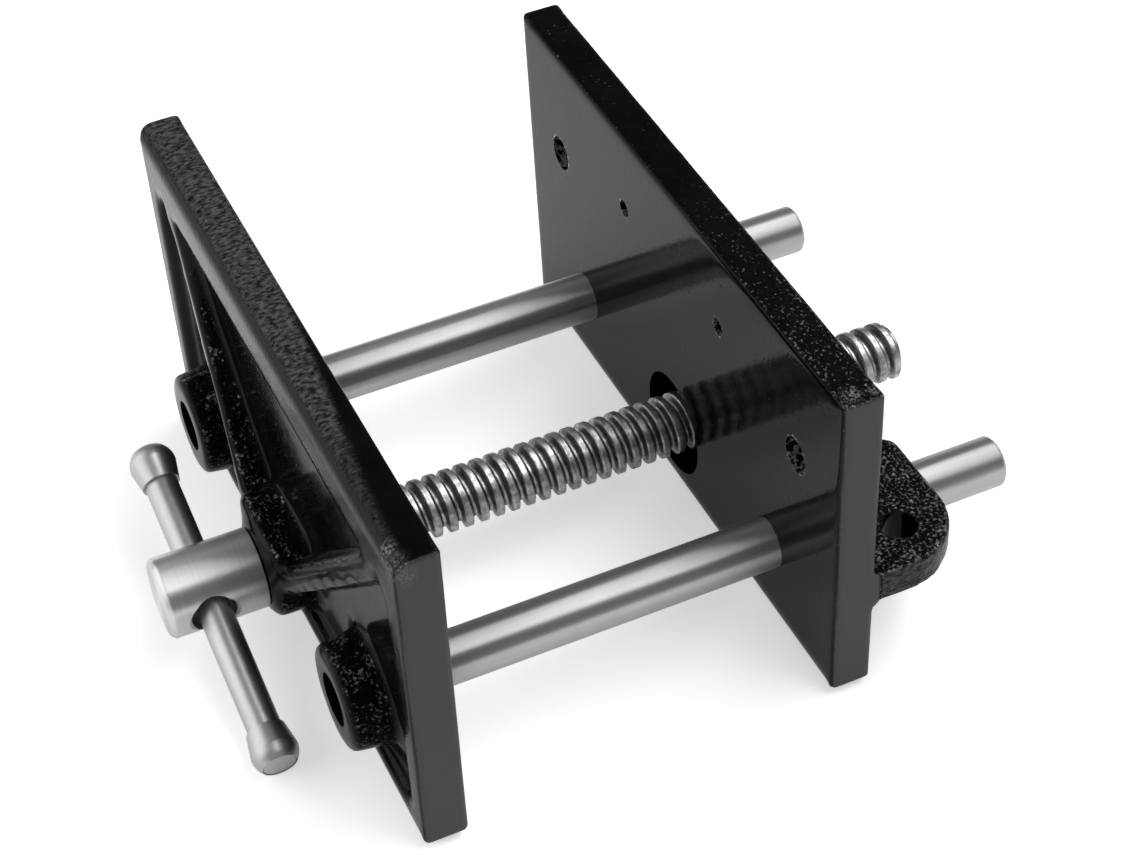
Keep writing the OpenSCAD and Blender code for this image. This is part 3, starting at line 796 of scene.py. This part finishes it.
def maskFront(mesh, normals, cast):
    co = getCoords(mesh)
    x, y = co[:, 0], co[:, 1]
    ends = groundEnds(co, normals, cast)
    top = topFace(co, normals, cast)
    sideways = 1 - smoothStep(*cast["smoothFace"], np.abs(normals[:, 1]))
    under = smoothStep(*cast["underFace"], -normals[:, 2])
    rim = smoothStep(*cast["rimFace"], -normals[:, 1])
    rim *= np.abs(y - innerY + cast["rimDepth"]) < cast["rimBand"]

    # smooth strip along the top's inner edge, wider towards the right end
    narrow, wide = cast["stripWidths"]
    width = narrow + (wide - narrow) * smoothStep(*cast["stripSpan"], x)
    strip = top * smoothStep(*cast["stripEdge"], y - innerY + width)
    bores = np.zeros(len(co), bool)
    for side in (-1, 1):
        bores |= insideBore(co, side * rodX, rodZ, rodRadius + cast["boreMargin"])

    rough = sideways * (1 - cast["stripSmooth"] * strip) * (1 - bores)
    rough = rough * (1 - cast["underSmooth"] * under) + cast["leastRough"] + cast["rimRough"] * rim
    # share of bright flecks, painted glints of the grain
    gritty = sideways * (1 - cast["topClean"] * top) * (1 - strip) * (1 - bores)
    gritty = gritty * (1 - cast["underClean"] * under)
    dull = sideways * (1 - top * (1 - strip)) * (1 - cast["underShine"] * under)
    # the painted highlight on the wrinkle fold tops fades towards the right end
    worn = cast["foldHighlightFade"] * smoothStep(*cast["foldHighlightFadeSpan"], x)
    paintMasks(mesh, ends, rough=rough, gritty=gritty, dull=np.maximum(dull, bores),
               wrinkled=sideways * top * (1 - strip) * (1 - worn))


frontCasting = {
    **jawCasting,
    "mask": maskFront,
    "waveSeed": 3,
    "waveShare": frontWaves,
    "smoothGrip": (1.2 * mm, 0.4 * mm),
    # bores
    "rodBore": rodRadius + 0.05 * mm,
    "shankBore": threadRadius + 0.3 * mm,
    "shankPlug": threadRadius + 1 * mm,
    "rodRecess": 9 * mm,
    "plugDepth": 0.05 * mm,
    "washerRoom": 0.4 * mm,
    "washerDepth": 0.2 * mm,
    # worn spots: place and reach in millimetres
    "wornSpots": [((80, -120, 51), 4.5), ((76, -121, 53), 3), ((-30, -112, 54.5), 1.2)],
    # where each mask begins and ends, and how much one takes from another
    "smoothFace": (0.4, 0.75),
    "underFace": (0.3, 0.6),
    "rimFace": (0.6, 0.95),
    "rimDepth": 10.5 * mm,
    "rimBand": 0.6 * mm,
    "stripWidths": (0.3 * mm, 6.9 * mm),
    "stripSpan": (-15 * mm, 80 * mm),
    "stripEdge": (-1.5 * mm, 0.5 * mm),
    "boreMargin": 0.3 * mm,
    "stripSmooth": 0.88,
    "underSmooth": 0.85,
    "leastRough": 0.02,
    "rimRough": 0.1,
    "topClean": 0.55,
    "underClean": 0.8,
    "underShine": 0.7,
    # how the painted fold highlight fades towards the right end
    "foldHighlightFade": 0.65,
    "foldHighlightFadeSpan": (25 * mm, 65 * mm),
}


def frontJaw(cast):
    past, extra = cast["past"], cast["plugExtra"]
    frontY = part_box("front_jaw")[0].y
    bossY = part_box("right_guide_rod")[0].y - cast["rodRecess"]
    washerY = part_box("thrust_washer")[0].y - cast["washerDepth"]
    washerBore = halfSize("thrust_washer", 0) + cast["washerRoom"]
    plugs, bores = [], []
    for x in (-rodX, rodX):
        plugs.append(alongY(x, rodZ, bossY + cast["plugDepth"], innerY, rodRadius + extra))
        bores.append(alongY(x, rodZ, bossY - past, innerY + past, cast["rodBore"]))
    plugs.append(alongY(0, screwZ, frontY, innerY, cast["shankPlug"]))
    bores.append(alongY(0, screwZ, frontY - past, innerY + past, cast["shankBore"]))
    plugs.append(alongY(0, screwZ, washerY - extra, innerY, washerBore + extra))
    bores.append(alongY(0, screwZ, washerY, innerY + past, washerBore))
    mesh = castingMesh("front_jaw", plugs, bores, [], cast)
    addPiece("frontJaw", mesh, "sliding_jaw", "black_casting", frontPaint, "front_jaw")


frontJaw(frontCasting)
print("front jaw cast")


# Rear jaw: smooth gripping face, plate and ears flecked with painted glints, wrinkled sides of the ears with a
# painted highlight on their folds
def rearWaves(co, cast):
    return smoothStep(*(gripY + depth for depth in cast["smoothGrip"]), co[:, 1])


def maskRear(mesh, normals, cast):
    co = getCoords(mesh)
    x, y = co[:, 0], co[:, 1] - gripY  # y is the depth behind the gripping face
    ends = groundEnds(co, normals, cast) * (y < cast["plateEnd"])
    top = topFace(co, normals, cast)
    far = top * (1 - smoothStep(*cast["farSpan"], x))
    behind = smoothStep(*cast["gripSkin"], y)
    back = smoothStep(*cast["backFace"], normals[:, 1])
    earSides = (y > cast["earStart"]) * (1 - smoothStep(*cast["earSide"], np.abs(normals[:, 2])))
    bore = insideBore(co, 0, screwZ, cast["collarBore"] + cast["boreMargin"])
    bore &= y < cast["boreDepth"]
    bolts = np.zeros(len(co), bool)
    for centre, radius in mountHoles("bench_bolts"):
        away = np.hypot(x - centre.x, co[:, 1] - centre.y)
        bolts |= away < radius + cast["boltMargin"]

    sides = behind * (1 - bore) * (1 - bolts)
    rough = sides * (1 - cast["farSmooth"] * far) * (1 - cast["earSmooth"] * earSides)
    # share of bright flecks, painted glints of the grain
    gritty = sides * (1 - cast["topClean"] * top - cast["farClean"] * far)
    gritty = gritty * (1 - cast["earClean"] * earSides) * (1 - cast["backClean"] * back)
    dull = behind * (1 - bore) * (1 - cast["boltShine"] * bolts)
    # the sides of the ears get the painted highlight on their wrinkle folds
    paintMasks(mesh, ends, rough=rough + cast["leastRough"], gritty=gritty,
               dull=dull * (1 - cast["earShine"] * earSides),
               wrinkled=cast["earLitWrinkles"] * earSides * sides)


rearCasting = {
    **jawCasting,
    "mask": maskRear,
    "waveSeed": 13,
    "waveShare": rearWaves,
    "smoothGrip": (0.3 * mm, 1.5 * mm),
    # bores
    "plate": 10 * mm,
    "guideBack": 13.5 * mm,
    "guideBore": rodRadius + 0.15 * mm,
    "collarBore": 13.25 * mm,
    "nutBore": 11.55 * mm,
    "boreOverlap": 1 * mm,
    "boltPlug": (-8 * mm, 0),
    "boltBore": (-12 * mm, 3 * mm),
    # worn spots: place and reach in millimetres
    "wornSpots": [((79, -19, 54.5), 3), ((80, -14, 54.5), 2)],
    # where each mask begins and ends, and how much one takes from another
    "plateEnd": 11 * mm,
    "farSpan": (-10 * mm, 60 * mm),
    "gripSkin": (0.1 * mm, 0.6 * mm),
    "backFace": (0.6, 0.9),
    "earStart": 12 * mm,
    "earSide": (0.4, 0.8),
    "boreMargin": 0.5 * mm,
    "boreDepth": 20 * mm,
    "boltMargin": 0.1 * mm,
    "farSmooth": 0.7,
    "earSmooth": 0.5,
    "leastRough": 0.02,
    "topClean": 0.3,
    "farClean": 0.5,
    "earClean": 0.8,
    "backClean": 0.7,
    "boltShine": 0.6,
    "earShine": 0.8,
    "earLitWrinkles": 0.8,
}


def rearJaw(cast):
    past, extra = cast["past"], cast["plugExtra"]
    backY = gripY + cast["plate"]
    guideY = cast["guideBack"]
    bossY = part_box("rear_jaw")[1].y
    plugs, bores, bareBores = [], [], []
    for x in (-rodX, rodX):
        plugs.append(alongY(x, rodZ, gripY, guideY, cast["guideBore"] + extra))
        bores.append(alongY(x, rodZ, gripY - past, guideY + past, cast["guideBore"]))
    plugs.append(alongY(0, screwZ, gripY, bossY, cast["collarBore"] + extra))
    bores.append(alongY(0, screwZ, gripY - past, backY, cast["collarBore"]))
    bores.append(alongY(0, screwZ, backY - cast["boreOverlap"], bossY + past, cast["nutBore"]))
    for name in ("jaw_screws", "facing_screws"):
        for centre, radius in mountHoles(name):
            plugs.append(alongY(centre.x, centre.z, gripY, backY, radius + extra))
            bareBores.append(alongY(centre.x, centre.z, gripY - past, backY + past, radius))
    bores += bareBores
    for centre, radius in mountHoles("bench_bolts"):
        plugs.append((*((*centre.xy, z) for z in cast["boltPlug"]), radius + extra))
        bores.append((*((*centre.xy, z) for z in cast["boltBore"]), radius))
    mesh = castingMesh("rear_jaw", plugs, bores, bareBores, cast)
    addPiece("rearJaw", mesh, "fixed_jaw", "black_casting", rearPaint, "rear_jaw")


rearJaw(rearCasting)
print("rear jaw cast")


# Turned pieces
bendShare = 0.3  # how far the middle point of a small round lies from its corner


def turnedMesh(profile, segments):
    # solid of revolution about Z from (radius, place along Z) points, closed by flat ends
    bm = bmesh.new()
    rings = []
    for radius, along in profile:
        ring = []
        for k in range(segments):
            angle = 2 * math.pi * k / segments
            ring.append(bm.verts.new((radius * math.cos(angle), radius * math.sin(angle), along)))
        rings.append(ring)
    for low, high in zip(rings, rings[1:]):
        for k in range(segments):
            n = (k + 1) % segments
            bm.faces.new((low[k], low[n], high[n], high[k]))
    bm.faces.new(list(reversed(rings[0])))
    bm.faces.new(rings[-1])
    bmesh.ops.recalc_face_normals(bm, faces=bm.faces)
    mesh = bpy.data.meshes.new("turned")
    bm.to_mesh(mesh)
    bm.free()
    return mesh


def roundedEnd(radius, end, edge, inward):
    # three points round an edge; inward is 1 at the low end and -1 at the high end
    bend = bendShare * edge
    points = [(radius - edge, end), (radius - bend, end + inward * bend), (radius, end + inward * edge)]
    return points[::inward]


def stand(mesh, origin, along):
    # turns the mesh's Z to a direction and moves it to its origin
    turn = Vector(along).to_track_quat("Z", "X").to_matrix().to_4x4()
    mesh.transform(Matrix.Translation(origin) @ turn)


guideRod = {"chamfer": 0.9 * mm, "edge": 0.15 * mm, "segments": 96}


def chamferedEnd(radius, end, rod, inward):
    c, e = rod["chamfer"], rod["edge"]
    steps = [(c + e, 0), (c, bendShare * e), (e, c - e), (0, c + e)]
    return [(radius - inset, end + inward * step) for inset, step in steps][::inward]


def rodMesh(side, rod):
    low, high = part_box(side + "_guide_rod")
    profile = chamferedEnd(rodRadius, low.y, rod, 1) + chamferedEnd(rodRadius, high.y, rod, -1)
    mesh = turnedMesh(profile, rod["segments"])
    stand(mesh, (middle(side + "_guide_rod", 0), 0, rodZ), (0, 1, 0))
    shade(mesh)
    return mesh


for side in ("left", "right"):
    addPiece(side + "Rod", rodMesh(side, guideRod), "sliding_jaw", "turned_steel", rodSteel,
             side + "_guide_rod")
print("guide rods turned")


# Lead screw with its rolled thread
leadScrew = {
    "segments": 80,
    "ringsPerTurn": 16,
    "depth": 1.9 * mm,
    "flankIn": (0.1, 0.3),  # shares of a turn where the ridge rises and falls
    "flankOut": (0.7, 0.9),
    "startAngle": 30,
    "tipChamfer": 1.2 * mm,
    "tipDrop": 0.6 * mm,  # how far the tip goes below the root
    "tipRing": 0.02 * mm,
    "join": 0.5 * mm,
    # where the painted groove shade begins and ends in a turn, and how dark it goes
    "grooveShadeIn": (0.72, 0.82),
    "grooveShadeOut": (0.92, 1),
    "grooveShadeShare": 0.92,
    "sharpAngle": 60,
}


def threadMesh(screw):
    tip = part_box("lead_screw")[1].y
    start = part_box("retaining_collar")[1].y - screw["join"]
    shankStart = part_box("screw_head")[1].y
    step = threadPitch / screw["ringsPerTurn"]
    places = [shankStart, start - step, *np.arange(start, tip - screw["tipRing"], step), tip]
    places = np.array(places)
    count = screw["segments"]
    rings = len(places)
    angles = 2 * np.pi * np.arange(count) / count
    y, angle = np.meshgrid(places, angles, indexing="ij")

    # u is the share of a turn since the last groove
    u = (y - start) / threadPitch - (angle - math.radians(screw["startAngle"])) / (2 * np.pi)
    u = np.mod(u, 1)
    ridge = smoothStep(*screw["flankIn"], u) * (1 - smoothStep(*screw["flankOut"], u))
    ridge *= smoothStep(0, threadPitch, y - start)
    root = threadRadius - screw["depth"]
    radius = root + (threadRadius - root) * ridge
    drop = screw["tipDrop"]
    limit = root - drop + (tip - y) * (threadRadius - root + drop) / screw["tipChamfer"]
    radius = np.minimum(radius, np.maximum(limit, root - drop))
    radius[y < start] = threadRadius
    verts = np.stack([radius * np.cos(angle), y, screwZ - radius * np.sin(angle)], -1)

    faces = []
    for low in range(0, (rings - 1) * count, count):
        high = low + count
        for k in range(count):
            n = (k + 1) % count
            faces.append((low + k, low + n, high + n, high + k))
    faces.append(tuple(range(count - 1, -1, -1)))
    faces.append(tuple((rings - 1) * count + k for k in range(count)))
    mesh = bpy.data.meshes.new("thread")
    mesh.from_pydata(verts.reshape(-1, 3).tolist(), [], faces)
    # painted shade on the flank of each groove that faces the rear jaw
    grooveShade = smoothStep(*screw["grooveShadeIn"], u) * (1 - smoothStep(*screw["grooveShadeOut"], u)) * (y > start)
    addMask(mesh, "grooveShade", screw["grooveShadeShare"] * grooveShade.ravel())
    bm = bmesh.new()
    bm.from_mesh(mesh)
    bmesh.ops.recalc_face_normals(bm, faces=bm.faces)
    bm.to_mesh(mesh)
    bm.free()
    shade(mesh, screw["sharpAngle"])
    return mesh


addPiece("leadScrew", threadMesh(leadScrew), "screw", "thread_steel", threadSteel, "lead_screw")
print("lead screw rolled")


# Screw head with its cross hole
screwHead = {
    "chamfer": 0.9 * mm,
    "edge": 0.25 * mm,
    "segments": 128,
    "holeTilt": 8.3,
    "holeIn": 13.3 * mm,
    "holeRadius": 5.5 * mm,
    "sink": 0.8 * mm,
    "past": 1 * mm,
    "sharpAngle": 30,
    # points of a round at the front chamfer: edges before its corner, and off the face
    "round": [(2, 0), (0.6, 0.1), (0, 0.4)],
}


def headMesh(head):
    low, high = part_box("screw_head")
    r, c, e = halfSize("screw_head", 0), head["chamfer"], head["edge"]
    face = [(r - c - before * e, low.y + off * e) for before, off in head["round"]]
    side = [(r - off * e, low.y + c + before * e) for before, off in reversed(head["round"])]
    mesh = turnedMesh(face + side + roundedEnd(r, high.y, e, -1), head["segments"])
    stand(mesh, (0, 0, screwZ), (0, 1, 0))

    # the cross hole's cutter flares at both mouths
    tilt = math.radians(head["holeTilt"])
    along = Vector((math.cos(tilt), 0, -math.sin(tilt)))
    centre = Vector((0, high.y - head["holeIn"], screwZ))
    hole, sink, past = head["holeRadius"], head["sink"], head["past"]
    mouth = hole + (sink + past)
    cutter = turnedMesh([(mouth, -r - past), (hole, -r + sink), (hole, r - sink), (mouth, r + past)],
                        head["segments"])
    stand(cutter, centre, along)
    mesh = cutAway(mesh, cutter)
    shade(mesh, head["sharpAngle"])
    return mesh


addPiece("screwHead", headMesh(screwHead), "screw", "turned_steel", litHeadSteel, "screw_head")
print("head turned and cross drilled")


# Handle bar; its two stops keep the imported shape
handleBar = {"edge": 0.4 * mm, "segments": 64}


def handleDirection():
    joint = next(j for j in frame["joints"] if j["name"] == "handle_slide")
    return Vector(joint["axis"]).normalized()


def handleBarMesh(bar):
    along = handleDirection()
    low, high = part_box("handle_bar")
    radius = halfSize("handle_bar", 1)
    half = ((high.x - low.x) / 2 - radius * abs(along.z)) / abs(along.x)
    profile = roundedEnd(radius, -half, bar["edge"], 1) + roundedEnd(radius, half, bar["edge"], -1)
    mesh = turnedMesh(profile, bar["segments"])
    stand(mesh, (low + high) / 2, along)
    shade(mesh)
    return mesh


addPiece("handleBar", handleBarMesh(handleBar), "handle", "turned_steel", barSteel, "handle_bar")
print("handle turned")


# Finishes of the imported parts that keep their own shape
packedFinishes = {
    "left_bar_stop": plainSteel, "right_bar_stop": plainSteel, "head_pin": plainSteel,
    "left_rod_pin": plainSteel, "right_rod_pin": plainSteel, "thrust_washer": plainSteel,
    "retaining_collar": plainSteel, "collar_pin": plainSteel, "screw_nut": plainSteel,
    "nut_set_screw": blackSteel,
}
for node, material in packedFinishes.items():
    mesh = frame["nodes"][node].data
    mesh.materials.clear()
    mesh.materials.append(material)
print("packed parts finished")


# Studio: pale floor, soft lights above and in front
studio = {
    "floorDrop": 0.2 * mm,
    "floorSize": 6.0,
    "floorColour": (0.86, 0.86, 0.86, 1),
    "floorRough": 0.9,
    "shownWhite": 0.5,
    "mirroredWhite": 0.175,
    "white": (1, 1, 1, 1),
    "sky": 0.26,
    "lightAim": (0, -0.05, 0),
}
softLights = [
    # name, place, width, height, watts
    ("overheadLight", (0.1, 0.34, 0.96), 1.4, 0.58, 11),
    ("frontLight", (-0.3, -0.95, 0.47), 1.6, 1.05, 7.2),
]


def makeFloor(room):
    height = cadBox[0][2] - room["floorDrop"]
    bpy.ops.mesh.primitive_plane_add(size=room["floorSize"], location=(0, 0, height))
    floor = bpy.context.object
    floor.name = "floor"
    material, tree, shader = newMaterial("whiteSweep")
    shader.inputs["Base Color"].default_value = room["floorColour"]
    shader.inputs["Roughness"].default_value = room["floorRough"]
    path = addNode(tree, "ShaderNodeLightPath").outputs
    mirrored = maths(tree, "MAXIMUM", path["Is Glossy Ray"], path["Is Transmission Ray"])
    glow = addUp(tree, times(tree, path["Is Camera Ray"], room["shownWhite"]),
                 times(tree, mirrored, room["mirroredWhite"]))
    tree.links.new(glow, shader.inputs["Emission Strength"])
    shader.inputs["Emission Color"].default_value = room["white"]
    floor.data.materials.append(material)


def makeLight(room, name, place, width, height, watts):
    data = bpy.data.lights.new(name, "AREA")
    data.shape = "RECTANGLE"
    data.size = width
    data.size_y = height
    data.energy = watts
    light = bpy.data.objects.new(name, data)
    light.location = place
    aim = Vector(room["lightAim"]) - Vector(place)
    light.rotation_euler = aim.to_track_quat("-Z", "Y").to_euler()
    bpy.context.collection.objects.link(light)


def makeSky(room):
    world = bpy.data.worlds.new("softSky")
    bpy.context.scene.world = world
    world.use_nodes = True
    tree = world.node_tree
    background = tree.nodes["Background"]
    background.inputs["Color"].default_value = room["white"]
    shown = addNode(tree, "ShaderNodeLightPath").outputs["Is Camera Ray"]
    tree.links.new(spread(tree, shown, room["sky"], 1), background.inputs["Strength"])


makeFloor(studio)
for light in softLights:
    makeLight(studio, *light)
makeSky(studio)
bpy.context.scene.view_settings.view_transform = "Standard"
print("studio lit")
